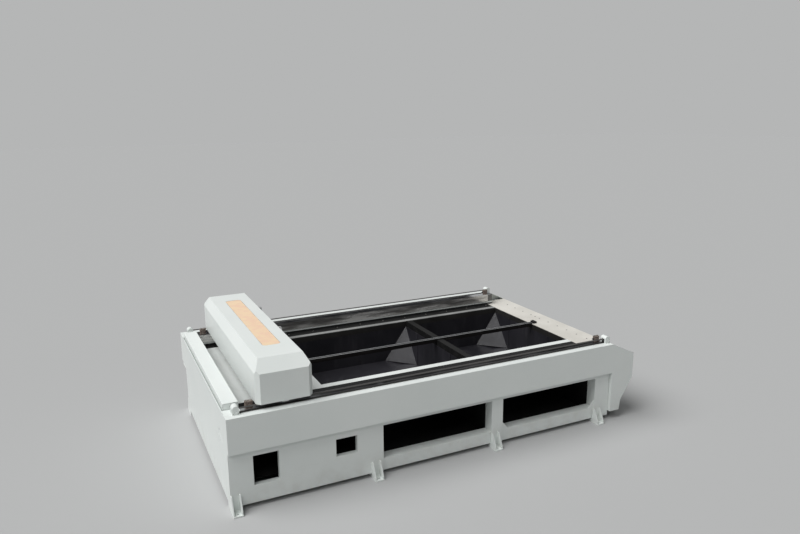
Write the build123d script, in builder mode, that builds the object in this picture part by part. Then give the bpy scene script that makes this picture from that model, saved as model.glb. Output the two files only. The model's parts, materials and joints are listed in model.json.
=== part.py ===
from build123d import *
import os

# A flatbed laser cutter: a welded frame with two open bays, and a hooded gantry that carries the laser tube.
# All lengths are millimetres. Stations give x from the left end, y from the front face and z from the floor.

# Overall sizes
machine_length = 4412
machine_depth = 2570
foot_reach = 60
beam_top = 870
beam_bottom = 545
beam_width = 196
beam_end = 4119
sheet = 6

# Bed and bays
bed_level = 733
bed_left, bed_right = 1052, 4052
bed_front, bed_rear = 681, 2181
divider_left, divider_right = 2703, 2777
rim_depth = 72
hopper_sheet = 3
hopper_bottom = 250
outlet_level = 185
outlet_size = 500
ledge_rear = 601
lip_rear = 2266

# Lower frame
frame_front, frame_rear = 40, 2310
leg_depth = 120
leg_top = 500
panel_bottom = 50
rail_low, rail_high = 45, 165
leg_2, leg_3, leg_4 = (1215, 1425), (2615, 2745), (3930, 4119)
foot_centres = (42, 1344, 2649, 3954)
foot_width = 84
plate_thickness = 12

# Belt drive along the beams
drive_x, idler_x = 97, 4089
pulley_z = 892
pulley_radius = 17
shaft_radius = 10
belt_front, belt_rear = 85, 115
belt_thickness = 3
clearance = 0.3

# Guideways on the beams
flange_width = 92
guide_y = 168
guide_width = 20
guide_height = 16
guide_chamfer = 1.5
guide_left, guide_right = 270, 3980

# Gantry and hood
hood_left, hood_right = 275, 779
hood_front = 62
hood_bottom, hood_shoulder, hood_top = 916, 1189, 1294
side_lean = 52
end_lean = 107
corner_cut = 37
hood_sheet = 3
slot_top = 1125
bulkhead_y = 192
bulkhead_thickness = 12
crossbeam_x = (640, 760)
crossbeam_z = (925, 1045)
window_x = (451, 618)
window_y = (465, 2130)
window_radius = 35
tube_x, tube_z = 534.5, 1100
tube_radius = 40

# Cutting head
head_x, head_y = 850, 1431
lens_radius = 25
screw_x, screw_z = 790, 950
screw_radius = 8
optics_y = 2290

origin_x = machine_length / 2
origin_y = (machine_depth - foot_reach) / 2
mid_depth = machine_depth / 2

os.makedirs("parts", exist_ok=True)


def station(x, y, z):
    """A point of the frame, whose origin lies on the floor under the middle of the machine."""
    return Vector(x - origin_x, y - origin_y, z)


def floor_plane(z):
    """A level plane at a height, drawn on in x and y stations."""
    return Plane(station(0, 0, z))


def front_plane(y):
    """An upright plane facing the front, drawn on in x stations and heights."""
    return Plane(station(0, y, 0), x_dir=(1, 0, 0), z_dir=(0, -1, 0))


def side_plane(x):
    """An upright plane facing right, drawn on in y stations and heights."""
    return Plane(station(x, 0, 0), x_dir=(0, 1, 0), z_dir=(1, 0, 0))


def block(x, y, z, mode=Mode.ADD):
    """A rectangular block in the open part, between a low and a high station on each axis."""
    centre = station(sum(x) / 2, sum(y) / 2, sum(z) / 2)
    with Locations(centre):
        Box(x[1] - x[0], y[1] - y[0], z[1] - z[0], mode=mode)


def rod(centre, y, radius, mode=Mode.ADD):
    """A round bar along y in the open part, about a centre given as x station and height."""
    middle = station(centre[0], sum(y) / 2, centre[1])
    with Locations(middle):
        Cylinder(radius, y[1] - y[0], rotation=(90, 0, 0), mode=mode)


def rear_twin(part):
    """The same part on the machine's rear side, mirrored about the middle of its depth."""
    middle = Plane(station(0, mid_depth, 0), z_dir=(0, 1, 0))
    return mirror(part, about=middle)


def save(part, name):
    """Label a finished part and write it as its own file."""
    part.label = name
    export_step(part, f"parts/{name}.step")


# Fascia: the face of the beam, which widens at its right end into a wing that reaches down to the floor
fascia_thickness = 10
wing_left = 4121
wing_foot = 98
wing_corner = (4246, wing_foot)
wing_knee = (4263, 214)
wing_shoulder = (machine_length, 458)
slope_flange = 60

with BuildPart() as front_fascia:
    with BuildSketch(front_plane(0)):
        with BuildLine():
            Polyline(
                (0, beam_bottom),
                (wing_left, beam_bottom),
                (wing_left, wing_foot),
                wing_corner,
                wing_knee,
                wing_shoulder,
                (machine_length, bed_level),
                (beam_end, beam_top),
                (0, beam_top),
                close=True,
            )
        make_face()
    extrude(amount=-fascia_thickness)
    with BuildSketch(front_plane(0)):
        with BuildLine():
            Polyline(
                (beam_end, beam_top),
                (machine_length, bed_level),
                (machine_length, bed_level - sheet),
                (beam_end, beam_top - sheet),
                close=True,
            )
        make_face()
    extrude(amount=-slope_flange)
    block((wing_left, wing_left + sheet), (fascia_thickness, frame_front), (wing_foot, beam_bottom))
save(front_fascia.part, "front_fascia")
save(rear_twin(front_fascia.part), "rear_fascia")


# Beams: a channel that is closed by the fascia, on a shallow header over the legs
beam_wall = 8
step_level = beam_top - sheet


def beam(header):
    """A front beam with its header, which spans the given y stations."""
    with BuildPart() as bar:
        with BuildSketch(side_plane(sheet)):
            with BuildLine():
                Polyline(
                    (fascia_thickness, beam_top),
                    (flange_width, beam_top),
                    (flange_width, step_level),
                    (beam_width, step_level),
                    (beam_width, beam_bottom),
                    (fascia_thickness, beam_bottom),
                    (fascia_thickness, beam_bottom + beam_wall),
                    (beam_width - beam_wall, beam_bottom + beam_wall),
                    (beam_width - beam_wall, step_level - beam_wall),
                    (fascia_thickness, step_level - beam_wall),
                    close=True,
                )
            make_face()
        extrude(amount=beam_end - sheet)
        block((beam_end - beam_wall, beam_end), (fascia_thickness, beam_width), (beam_bottom, step_level))
        block((sheet, beam_end), header, (leg_top, beam_bottom))
        hollow = (header[0] + beam_wall, header[1] - beam_wall)
        block((sheet, beam_end), hollow, (leg_top + beam_wall, beam_bottom - beam_wall), mode=Mode.SUBTRACT)
    return bar.part


save(beam((frame_front, frame_front + leg_depth)), "front_beam")
rear_header = (fascia_thickness, machine_depth - frame_rear + leg_depth)
save(rear_twin(beam(rear_header)), "rear_beam")


# Guideways: a ground strip let into the beam, with the rail that the gantry runs on
with BuildPart() as front_guideway:
    block((sheet, beam_end), (flange_width, beam_width), (step_level, beam_top))
    rail_y = (guide_y - guide_width / 2, guide_y + guide_width / 2)
    block((guide_left, guide_right), rail_y, (beam_top, beam_top + guide_height))
    rail_tops = front_guideway.edges().filter_by(Axis.X).group_by(Axis.Z)[-1]
    chamfer(rail_tops, length=guide_chamfer)
save(front_guideway.part, "front_guideway")
save(rear_twin(front_guideway.part), "rear_guideway")

# Guard: the bright strip on the inner wall of the rear beam
guard_thickness = 2
guard_low = 773
guard_y = machine_depth - beam_width

with BuildPart() as rear_guard:
    block((sheet, bed_right), (guard_y - guard_thickness, guard_y), (guard_low, step_level))
save(rear_guard.part, "rear_guard")

# Ledges and lips round the bed
under_bed = bed_level - sheet
rim_bottom = bed_level - rim_depth

with BuildPart() as front_ledge:
    block((sheet, bed_right), (beam_width, ledge_rear), (under_bed, bed_level))
save(front_ledge.part, "front_ledge")

with BuildPart() as rear_ledge:
    block((sheet, bed_right), (lip_rear, guard_y), (under_bed, bed_level))
save(rear_ledge.part, "rear_ledge")

with BuildPart() as front_lip:
    block((bed_left, bed_right), (ledge_rear, bed_front), (under_bed, bed_level))
    block((bed_left, bed_right), (bed_front - sheet, bed_front), (rim_bottom, under_bed))
save(front_lip.part, "front_lip")

with BuildPart() as rear_lip:
    block((bed_left, bed_right), (bed_rear, lip_rear), (under_bed, bed_level))
    block((bed_left, bed_right), (bed_rear, bed_rear + sheet), (rim_bottom, under_bed))
save(rear_lip.part, "rear_lip")

# Left deck, with a clearance hole for the drive motor
motor_radius = 40
motor_gap = 2
motor_y = mid_depth

with BuildPart() as left_deck:
    block((sheet, bed_left), (ledge_rear, lip_rear), (under_bed, bed_level))
    block((bed_left - sheet, bed_left), (ledge_rear, lip_rear), (rim_bottom, under_bed))
    with Locations(station(drive_x, motor_y, bed_level)):
        Hole(radius=motor_radius + motor_gap, depth=sheet)
save(left_deck.part, "left_deck")

# Left side panel, which steps in below the beams and has a slanted slot near the front
slot_length, slot_height, slot_slant = 147, 30, 31
slot_centre = (309, 599)

with BuildPart() as left_side_panel:
    with BuildSketch(side_plane(0)):
        with BuildLine():
            Polyline(
                (fascia_thickness, beam_top),
                (machine_depth - fascia_thickness, beam_top),
                (machine_depth - fascia_thickness, beam_bottom),
                (frame_rear, beam_bottom),
                (frame_rear, panel_bottom),
                (frame_front, panel_bottom),
                (frame_front, beam_bottom),
                (fascia_thickness, beam_bottom),
                close=True,
            )
        make_face()
        with Locations(slot_centre):
            SlotOverall(slot_length, slot_height, rotation=slot_slant, mode=Mode.SUBTRACT)
    extrude(amount=sheet)
save(left_side_panel.part, "left_side_panel")

# Right end: a bent outer skin under a top plate
skin_y = machine_depth - fascia_thickness
skin_mitre = 2
inner_knee = (wing_knee[0] - sheet, wing_knee[1] + skin_mitre)

with BuildPart() as right_end_skin:
    with BuildSketch(front_plane(fascia_thickness)):
        with BuildLine():
            Polyline(
                (machine_length, under_bed),
                wing_shoulder,
                wing_knee,
                wing_corner,
                (wing_corner[0] - sheet, wing_foot),
                inner_knee,
                (machine_length - sheet, wing_shoulder[1] + skin_mitre),
                (machine_length - sheet, under_bed),
                close=True,
            )
        make_face()
    extrude(amount=-(skin_y - fascia_thickness))
save(right_end_skin.part, "right_end_skin")

with BuildPart() as right_end_plate:
    with BuildSketch(floor_plane(under_bed)):
        with BuildLine():
            Polyline(
                (beam_end, slope_flange),
                (machine_length - sheet, slope_flange),
                (machine_length - sheet, machine_depth - slope_flange),
                (beam_end, machine_depth - slope_flange),
                (beam_end, guard_y),
                (bed_right, guard_y),
                (bed_right, beam_width),
                (beam_end, beam_width),
                close=True,
            )
        make_face()
    extrude(amount=sheet)
    block((bed_right, bed_right + sheet), (bed_front, bed_rear), (rim_bottom, under_bed))
save(right_end_plate.part, "right_end_plate")

# Divider between the bays
divider_wall = 5

with BuildPart() as divider_beam:
    block((divider_left, divider_right), (bed_front, bed_rear), (rim_bottom, bed_level))
    inside_x = (divider_left + divider_wall, divider_right - divider_wall)
    block(inside_x, (bed_front, bed_rear), (rim_bottom + divider_wall, bed_level - divider_wall), Mode.SUBTRACT)
save(divider_beam.part, "divider_beam")


# Hoppers: one under each bay, with a leaning exhaust cover in its far right corner and two ribs on that wall
cover_y = 1880
cover_width = 290
cover_wall = 9
rib_width, rib_thickness = 32, 4
rib_y = (1060, cover_y)


def funnel(span, inset):
    """The corners of a bay's outline across a span: upright walls that draw in to the outlet below."""
    low, high = span[0] - inset, span[1] + inset
    middle = (low + high) / 2
    half = outlet_size / 2 + inset
    top = [(low, rim_bottom), (high, rim_bottom), (high, hopper_bottom)]
    outlet = [(middle + half, outlet_level), (middle - half, outlet_level), (low, hopper_bottom)]
    return top + outlet


def bay(x, inset):
    """The volume of a bay between two x stations: what its two funnel outlines have in common."""
    y = (bed_front, bed_rear)
    with BuildPart() as volume:
        with BuildSketch(front_plane(y[0] - inset)):
            with BuildLine():
                Polyline(funnel(x, inset), close=True)
            make_face()
        extrude(amount=y[0] - y[1] - 2 * inset)
        with BuildSketch(side_plane(x[0] - inset)):
            with BuildLine():
                Polyline(funnel(y, inset), close=True)
            make_face()
        extrude(amount=x[1] - x[0] + 2 * inset, mode=Mode.INTERSECT)
    return volume.part


def exhaust_cover(x, inset):
    """A corner piece against the right wall at x, which leans from the bay's top corner out to its base."""
    reach_x = cover_width - inset
    reach_y = bed_rear - cover_y - inset
    peak = rim_bottom - inset
    with BuildPart() as corner:
        block((x - reach_x, x), (bed_rear - reach_y, bed_rear), (hopper_bottom, peak))
        leaning = Plane(
            station(x - reach_x, bed_rear, hopper_bottom),
            x_dir=(reach_x, -reach_y, 0),
            z_dir=(-reach_y * (peak - hopper_bottom), -reach_x * (peak - hopper_bottom), reach_x * reach_y),
        )
        split(bisect_by=leaning, keep=Keep.BOTTOM)
    return corner.part


def hopper(x):
    """A sheet hopper between two x stations."""
    shell = bay(x, hopper_sheet)
    hollow = bay(x, 0)
    cover = exhaust_cover(x[1], 0)
    duct = exhaust_cover(x[1], cover_wall)
    with BuildPart() as sheets:
        add(shell)
        add(hollow, mode=Mode.SUBTRACT)
        add(cover)
        add(duct, mode=Mode.SUBTRACT)
        for y in rib_y:
            block((x[1] - rib_thickness, x[1]), (y - rib_width, y), (hopper_bottom, rim_bottom))
    return sheets.part


save(hopper((bed_left, divider_left - hopper_sheet)), "hopper_left")
save(hopper((divider_right + hopper_sheet, bed_right)), "hopper_right")

# Cross bar: a grooved bar along the bed, resting on the deck and in a bracket on the end plate
bar_y = (1357, 1403)
bar_z = (700, 745)
bar_lap = 45
bracket_gap, bracket_length = 18, 45
bracket_side = 12
groove_depth, groove_side = 8, 14
divider_gap = 1

with BuildPart() as cross_bar:
    bracket_x = (bed_right + bracket_gap, bed_right + bracket_gap + bracket_length)
    bracket_y = (bar_y[0] - bracket_side, bar_y[1] + bracket_side)
    block((bed_left, bed_right), bar_y, bar_z)
    block((bed_left - bar_lap, bracket_x[1]), bar_y, (bed_level, bar_z[1]))
    block(bracket_x, bracket_y, (bed_level, bar_z[1] + bracket_side))
    groove_y = (bar_y[0] + groove_side, bar_y[1] - groove_side)
    block((bed_left - bar_lap, bracket_x[0]), groove_y, (bar_z[1] - groove_depth, bar_z[1]), mode=Mode.SUBTRACT)
    crossing = (divider_left - divider_gap, divider_right + divider_gap)
    block(crossing, bar_y, (bar_z[0], bed_level), mode=Mode.SUBTRACT)
save(cross_bar.part, "cross_bar")


# Feet: a base plate with a bolt hole between two gussets, under a short stub
foot_hole_y = -24
foot_hole_radius = 9
gusset_thickness = 10
gusset_top = 160
gusset_nose = 22
gusset_setback = 10
gusset_lean = 26


def foot(x):
    """A foot in the open part, centred on an x station."""
    left, right = x - foot_width / 2, x + foot_width / 2
    block((left, right), (-foot_reach, frame_front + leg_depth), (0, plate_thickness))
    block((left, right), (frame_front, frame_front + leg_depth), (plate_thickness, rail_low))
    for edge in (left, right - gusset_thickness):
        with BuildSketch(side_plane(edge)) as gusset:
            with BuildLine():
                Polyline(
                    (frame_front, plate_thickness),
                    (gusset_setback - foot_reach, plate_thickness),
                    (gusset_setback - foot_reach, plate_thickness + gusset_nose),
                    (frame_front - gusset_lean, gusset_top),
                    (frame_front, gusset_top),
                    close=True,
                )
            make_face()
        extrude(gusset.sketch, amount=gusset_thickness)
    with Locations(station(x, foot_hole_y, plate_thickness)):
        Hole(radius=foot_hole_radius, depth=plate_thickness)


# Left panel of the lower frame, with its corner leg; the front one has two framed windows
windows = (((210, 435), (205, 480)), ((960, 1165), (290, 460)))
window_frame = 10
window_depth = 50
corner_leg_width = 84


def left_panel(has_windows):
    """The sheet panel at the left end of a lower frame."""
    back = frame_front + sheet
    with BuildPart() as panel:
        block((sheet, leg_2[0]), (frame_front, back), (panel_bottom, leg_top))
        block((sheet, sheet + corner_leg_width), (back, frame_front + leg_depth), (panel_bottom, leg_top))
        block((sheet, leg_2[0]), (frame_front, frame_front + leg_depth), (rail_low, panel_bottom + sheet))
        foot(foot_centres[0])
        if has_windows:
            for x, z in windows:
                rim_x = (x[0] - window_frame, x[1] + window_frame)
                rim_z = (z[0] - window_frame, z[1] + window_frame)
                block(rim_x, (frame_front, frame_front + window_depth), rim_z)
                block(x, (frame_front, frame_front + window_depth), z, mode=Mode.SUBTRACT)
    return panel.part


save(left_panel(True), "front_left_panel")

# Legs: a box section down to each further foot
leg_wall = 6
legs = {"leg_2": leg_2, "leg_3": leg_3, "leg_4": leg_4}
lower_frame_shift = frame_rear + frame_front - machine_depth


def to_rear(part):
    """The same part in the rear lower frame, which stands further in than the rear beam."""
    return Pos(0, lower_frame_shift, 0) * rear_twin(part)


save(to_rear(left_panel(False)), "rear_left_panel")

for (name, x), foot_x in zip(legs.items(), foot_centres[1:]):
    with BuildPart() as leg:
        block(x, (frame_front, frame_front + leg_depth), (rail_low, leg_top))
        inside_x = (x[0] + leg_wall, x[1] - leg_wall)
        inside_y = (frame_front + leg_wall, frame_front + leg_depth - leg_wall)
        block(inside_x, inside_y, (rail_low + leg_wall, leg_top - leg_wall), mode=Mode.SUBTRACT)
        foot(foot_x)
    save(leg.part, f"front_{name}")
    save(to_rear(leg.part), f"rear_{name}")

# Lower rails between the legs, the right one with a corner gusset at each end
rail_setback = 8
rail_wall = 5
corner_brace = (70, 85)
brace_thickness = 12
rail_spans = {"lower_rail_left": (leg_2[1], leg_3[0]), "lower_rail_right": (leg_3[1], leg_4[0])}

for name, x in rail_spans.items():
    face = frame_front + rail_setback
    with BuildPart() as rail:
        rail_y = (face, frame_front + leg_depth)
        block(x, rail_y, (rail_low, rail_high))
        hollow_y = (face + rail_wall, frame_front + leg_depth - rail_wall)
        block(x, hollow_y, (rail_low + rail_wall, rail_high - rail_wall), mode=Mode.SUBTRACT)
        if name == "lower_rail_right":
            with BuildSketch(front_plane(face)):
                with BuildLine():
                    Polyline(
                        (x[0], rail_high),
                        (x[0] + corner_brace[0], rail_high),
                        (x[0], rail_high + corner_brace[1]),
                        close=True,
                    )
                make_face()
                with BuildLine():
                    Polyline(
                        (x[1], rail_high),
                        (x[1] - corner_brace[0], rail_high),
                        (x[1], rail_high + corner_brace[1]),
                        close=True,
                    )
                make_face()
            extrude(amount=-brace_thickness)
    save(rail.part, f"front_{name}")
    save(to_rear(rail.part), f"rear_{name}")

# Cross beams that tie the two rows of legs together, the right one low enough to pass under the tray
tray_bottom, tray_sheet = 85, 3
cross_beams = {
    "cross_beam_left": ((leg_2[1] - leg_depth, leg_2[1]), rail_high),
    "cross_beam_right": (leg_3, tray_bottom),
}
between_legs = (frame_front + leg_depth, frame_rear - leg_depth)

for name, (x, top) in cross_beams.items():
    with BuildPart() as cross_beam:
        block(x, between_legs, (rail_low, top))
        inside = (x[0] + rail_wall, x[1] - rail_wall)
        block(inside, between_legs, (rail_low + rail_wall, top - rail_wall), mode=Mode.SUBTRACT)
    save(cross_beam.part, name)

# Base tray: the dark sheet floor under the hoppers and, a step higher, under the cabinet at the left end.
# Its partitions are tall in front of the hoppers and low under them.
cabinet_floor = 200
partition_front, partition_low = 672, 220
partitions = {leg_2[0]: cabinet_floor, leg_3[0]: tray_bottom, leg_4[0]: tray_bottom}

with BuildPart() as base_tray:
    block((leg_2[1], leg_4[0]), between_legs, (tray_bottom, tray_bottom + tray_sheet))
    block((leg_2[1], leg_2[1] + tray_sheet), between_legs, (tray_bottom, cabinet_floor))
    block((sheet, leg_2[1] + tray_sheet), between_legs, (cabinet_floor - tray_sheet, cabinet_floor))
    for x, bottom in partitions.items():
        block((x - tray_sheet, x), (between_legs[0], partition_front), (bottom, leg_top))
        block((x - tray_sheet, x), (partition_front, between_legs[1]), (bottom, partition_low))
save(base_tray.part, "base_tray")

# End blocks: rounded blocks at both ends of each belt. The shaft runs through both walls of the left ones,
# and the idler's stub axle sits in the outer wall of the right ones.
end_block_width = 60
end_block_top = 945
end_block_y = (62, 138)
pocket_y = (80, 120)
pocket_top = hood_bottom
shaft_recess = 2

bores = {"left": (drive_x, end_block_y), "right": (idler_x, (end_block_y[0], pocket_y[0]))}

for name, (x, bore_y) in bores.items():
    half = end_block_width / 2
    crown = end_block_top - half
    with BuildPart() as end_block:
        block((x - half, x + half), end_block_y, (beam_top, crown))
        rod((x, crown), end_block_y, half)
        block((x - half, x + half), pocket_y, (beam_top, pocket_top), mode=Mode.SUBTRACT)
        rod((x, pulley_z), bore_y, shaft_radius + clearance, mode=Mode.SUBTRACT)
    save(end_block.part, f"front_{name}_end_block")
    save(rear_twin(end_block.part), f"rear_{name}_end_block")

# Stops: a buffer in line with each end of both rails, one node
stop_y = (146, 190)
stop_top = 932
stop_chamfer = 8
stop_gap = 8
stops_x = ((195, 262), (guide_right + stop_gap, bed_right))

with BuildPart() as front_stops:
    for x in stops_x:
        block(x, stop_y, (beam_top, stop_top))
    corners = front_stops.edges().filter_by(Axis.Z)
    chamfer(corners, length=stop_chamfer)
with BuildPart() as stops:
    add(front_stops.part)
    add(rear_twin(front_stops.part))
save(stops.part, "travel_stops")

# Drive belts: a closed loop round the drive pulley and the idler
belt_inner = pulley_radius + clearance
belt_length = idler_x - drive_x

with BuildPart() as front_belt:
    with BuildSketch(front_plane(belt_front)):
        with Locations(((drive_x + idler_x) / 2, pulley_z)):
            SlotCenterToCenter(belt_length, 2 * (belt_inner + belt_thickness))
            SlotCenterToCenter(belt_length, 2 * belt_inner, mode=Mode.SUBTRACT)
    extrude(amount=belt_front - belt_rear)
save(front_belt.part, "front_belt")
save(rear_twin(front_belt.part), "rear_belt")


# Pulleys: plain barrels, the idlers each on a stub axle and the drive pulleys on one long shaft
barrel_y = (belt_front - clearance, belt_rear + clearance)
shaft_end = end_block_y[0] + shaft_recess

with BuildPart() as front_idler:
    rod((idler_x, pulley_z), barrel_y, pulley_radius)
    rod((idler_x, pulley_z), (shaft_end, barrel_y[0]), shaft_radius)
save(front_idler.part, "front_idler")
save(rear_twin(front_idler.part), "rear_idler")

with BuildPart() as front_drive_pulley:
    rod((drive_x, pulley_z), barrel_y, pulley_radius)

with BuildPart() as drive_shaft:
    add(front_drive_pulley.part)
    add(rear_twin(front_drive_pulley.part))
    rod((drive_x, pulley_z), (shaft_end, machine_depth - shaft_end), shaft_radius)
save(drive_shaft.part, "drive_shaft")

# Drive motor: a right angle gearbox round the shaft, with the motor hanging down through the deck
gearbox_z = (850, 920)
gearbox_half = 45
motor_bottom = 640
motor_bracket = 33

with BuildPart() as drive_motor:
    gearbox_x = (drive_x - gearbox_half, drive_x + gearbox_half)
    gearbox_y = (motor_y - gearbox_half, motor_y + gearbox_half)
    block(gearbox_x, gearbox_y, gearbox_z)
    with Locations(station(drive_x, motor_y, (motor_bottom + gearbox_z[0]) / 2)):
        Cylinder(motor_radius, gearbox_z[0] - motor_bottom)
    rod((drive_x, pulley_z), gearbox_y, shaft_radius + clearance, mode=Mode.SUBTRACT)
    bracket_z = (gearbox_z[0], gearbox_z[0] + plate_thickness)
    block((gearbox_x[0] - motor_bracket, gearbox_x[0]), gearbox_y, bracket_z)
save(drive_motor.part, "drive_motor")

# Shaft cover over the left end of the deck
cover_x = (16, 150)
cover_top = 925
cover_span = (205, machine_depth - 205)
cover_rounding = 6

with BuildPart() as shaft_cover:
    block(cover_x, cover_span, (bed_level, cover_top))
    top_edges = shaft_cover.edges().filter_by(Axis.Y).group_by(Axis.Z)[-1]
    fillet(top_edges, radius=cover_rounding)
    hollow_x = (cover_x[0] + hopper_sheet, cover_x[1] - hopper_sheet)
    block(hollow_x, cover_span, (bed_level, cover_top - hopper_sheet), mode=Mode.SUBTRACT)
save(shaft_cover.part, "shaft_cover")


# Hood: the shape that its front, side and top outlines have in common, hollowed to sheet thickness
hood_rear = machine_depth - hood_front


def hood_form(inset):
    """The chamfered body of the hood, drawn in by an inset on every face but the open bottom."""
    left, right = hood_left + inset, hood_right - inset
    front, rear = hood_front + inset, hood_rear - inset
    top = hood_top - inset
    with BuildPart() as form:
        with BuildSketch(front_plane(front)):
            with BuildLine():
                Polyline(
                    (left, hood_bottom),
                    (right, hood_bottom),
                    (right, hood_shoulder - inset / 2),
                    (right - side_lean + inset / 2, top),
                    (left + side_lean - inset / 2, top),
                    (left, hood_shoulder - inset / 2),
                    close=True,
                )
            make_face()
        extrude(amount=front - rear)
        with BuildSketch(side_plane(left)):
            with BuildLine():
                Polyline(
                    (front, hood_bottom),
                    (rear, hood_bottom),
                    (rear, hood_shoulder - inset / 2),
                    (rear - end_lean + inset / 2, top),
                    (front + end_lean - inset / 2, top),
                    (front, hood_shoulder - inset / 2),
                    close=True,
                )
            make_face()
        extrude(amount=right - left, mode=Mode.INTERSECT)
        with BuildSketch(floor_plane(hood_bottom)):
            with Locations(((left + right) / 2, mid_depth)):
                outline = Rectangle(right - left, rear - front)
            chamfer(outline.vertices(), length=corner_cut - inset / 2)
        extrude(amount=top - hood_bottom, mode=Mode.INTERSECT)
    return form.part


hood_outside = hood_form(0)
hood_inside = hood_form(hood_sheet)
slot_y = (bulkhead_y + bulkhead_thickness, machine_depth - bulkhead_y - bulkhead_thickness)
window_centre = (sum(window_x) / 2, sum(window_y) / 2)
window_size = (window_x[1] - window_x[0], window_y[1] - window_y[0])

with BuildPart() as hood:
    add(hood_outside)
    add(hood_inside, mode=Mode.SUBTRACT)
    block((hood_right - side_lean, hood_right), slot_y, (hood_bottom, slot_top), mode=Mode.SUBTRACT)
    with BuildSketch(floor_plane(hood_top - hood_sheet)):
        with Locations(window_centre):
            RectangleRounded(*window_size, radius=window_radius)
    extrude(amount=hood_sheet, mode=Mode.SUBTRACT)
save(hood.part, "hood")

# Window pane under the opening, and the sheet of masking paper that lies on it inside the opening
pane_lap = 15
paper_thickness = 1
paper_trim = 1
pane_top = hood_top - hood_sheet

with BuildPart() as window_pane:
    with BuildSketch(floor_plane(pane_top - hood_sheet)):
        with Locations(window_centre):
            lapped = [size + 2 * pane_lap for size in window_size]
            RectangleRounded(*lapped, radius=window_radius + pane_lap)
    extrude(amount=hood_sheet)
save(window_pane.part, "window_pane")

with BuildPart() as masking_paper:
    with BuildSketch(floor_plane(pane_top)):
        with Locations(window_centre):
            trimmed = [size - paper_trim for size in window_size]
            RectangleRounded(*trimmed, radius=window_radius)
    extrude(amount=paper_thickness)
save(masking_paper.part, "masking_paper")

# End carriages: runner blocks on the rail, a foot plate that grips the belt, and a bulkhead up into the hood
runner_y = (146, 190)
runner_z = (873, 897)
carriage_x = (290, 760)
runner_length = 80
runners_x = ((290, 290 + runner_length), (760 - runner_length, 760))
foot_plate_z = (897, 909)
foot_plate_y = (120, bulkhead_y + bulkhead_thickness)
clamp_x = (500, 560)
clamp_front = 82
clamp_top = 922
lower_jaw = 9
clamp_lap = 10
jaw_rear = belt_rear + 1
hood_inner_x = (hood_left + hood_sheet, hood_right - hood_sheet)
bulkhead_top = 1150

with BuildPart() as front_carriage:
    block(carriage_x, foot_plate_y, foot_plate_z)
    for x in runners_x:
        block(x, runner_y, runner_z)
    gap = guide_width / 2 + clearance
    rail_gap = (guide_y - gap, guide_y + gap)
    block(carriage_x, rail_gap, (runner_z[0], beam_top + guide_height + clearance), mode=Mode.SUBTRACT)
    block(clamp_x, (clamp_front, foot_plate_y[0] + clamp_lap), (foot_plate_z[0], clamp_top))
    belt_top = pulley_z + belt_inner + belt_thickness
    belt_gap = (belt_top - belt_thickness - clearance, belt_top + clearance)
    block(clamp_x, (clamp_front, jaw_rear), belt_gap, mode=Mode.SUBTRACT)
    block(clamp_x, (clamp_front, jaw_rear), (foot_plate_z[0], belt_gap[0] - lower_jaw), mode=Mode.SUBTRACT)
    block(carriage_x, (bulkhead_y, slot_y[0]), (foot_plate_z[1], hood_bottom))
    block(hood_inner_x, (bulkhead_y, slot_y[0]), (hood_bottom, bulkhead_top))
save(front_carriage.part, "front_carriage")
save(rear_twin(front_carriage.part), "rear_carriage")

# Crossbeam with the tube cradles, the screw bearings and the mirror arm
crossbeam_wall = 8
cradle_y = (650, 1850)
cradle_half, cradle_width, cradle_top = 20, 100, 1090
mount_half = 34
arm_left = 480
arm_thickness = 10
arm_half = 35
arm_y = (optics_y - arm_half, optics_y + arm_half)
bearing_y = ((222, 242), (2255, 2271))
bearing_half = 15
nut_front = 806

with BuildPart() as crossbeam:
    block(crossbeam_x, slot_y, crossbeam_z)
    inner_x = (crossbeam_x[0] + crossbeam_wall, crossbeam_x[1] - crossbeam_wall)
    inner_z = (crossbeam_z[0] + crossbeam_wall, crossbeam_z[1] - crossbeam_wall)
    block(inner_x, slot_y, inner_z, mode=Mode.SUBTRACT)
    for y in cradle_y:
        span = (y - cradle_half, y + cradle_half)
        block((arm_left, crossbeam_x[1]), span, (crossbeam_z[1], crossbeam_z[1] + sheet))
        cradle_x = (tube_x - cradle_width / 2, tube_x + cradle_width / 2)
        block(cradle_x, span, (crossbeam_z[1] + sheet, cradle_top))
    rod((tube_x, tube_z), slot_y, tube_radius, mode=Mode.SUBTRACT)
    block((arm_left, head_x + mount_half), arm_y, (crossbeam_z[1], crossbeam_z[1] + arm_thickness))
    for y in bearing_y:
        block((crossbeam_x[1], nut_front), y, (screw_z - bearing_half, screw_z + bearing_half))
    rod((screw_x, screw_z), slot_y, screw_radius + clearance, mode=Mode.SUBTRACT)
save(crossbeam.part, "crossbeam")

# Laser tube: a glass jacket with a neck at each end
tube_start, tube_end = 500, 2150
neck_length = 60
neck_radius = 24
tube_shoulder = 14

with BuildPart() as laser_tube:
    rod((tube_x, tube_z), (tube_start, tube_end), tube_radius)
    round_ends = laser_tube.edges().filter_by(GeomType.CIRCLE)
    chamfer(round_ends, length=tube_shoulder)
    rod((tube_x, tube_z), (tube_start - neck_length, tube_end + neck_length), neck_radius)
save(laser_tube.part, "laser_tube")

# Fixed mirrors: the first at the tube's end, the second outside the hood's slot
mirror_bottom = crossbeam_z[1] + arm_thickness
mirror_top = 1134
port_radius = 12

for name, x, cut_side in (("mirror_mount_1", tube_x, 0), ("mirror_mount_2", head_x, -1)):
    with BuildPart() as mirror_mount:
        with BuildSketch(floor_plane(mirror_bottom)):
            with Locations((x, optics_y)):
                outline = Rectangle(2 * mount_half, 2 * mount_half)
            back_corner = outline.vertices().group_by(Axis.Y)[-1].sort_by(Axis.X)[cut_side]
            chamfer(back_corner, length=mount_half)
        extrude(amount=mirror_top - mirror_bottom)
        rod((x, tube_z), (optics_y - mount_half, optics_y), port_radius, mode=Mode.SUBTRACT)
    save(mirror_mount.part, name)

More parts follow.
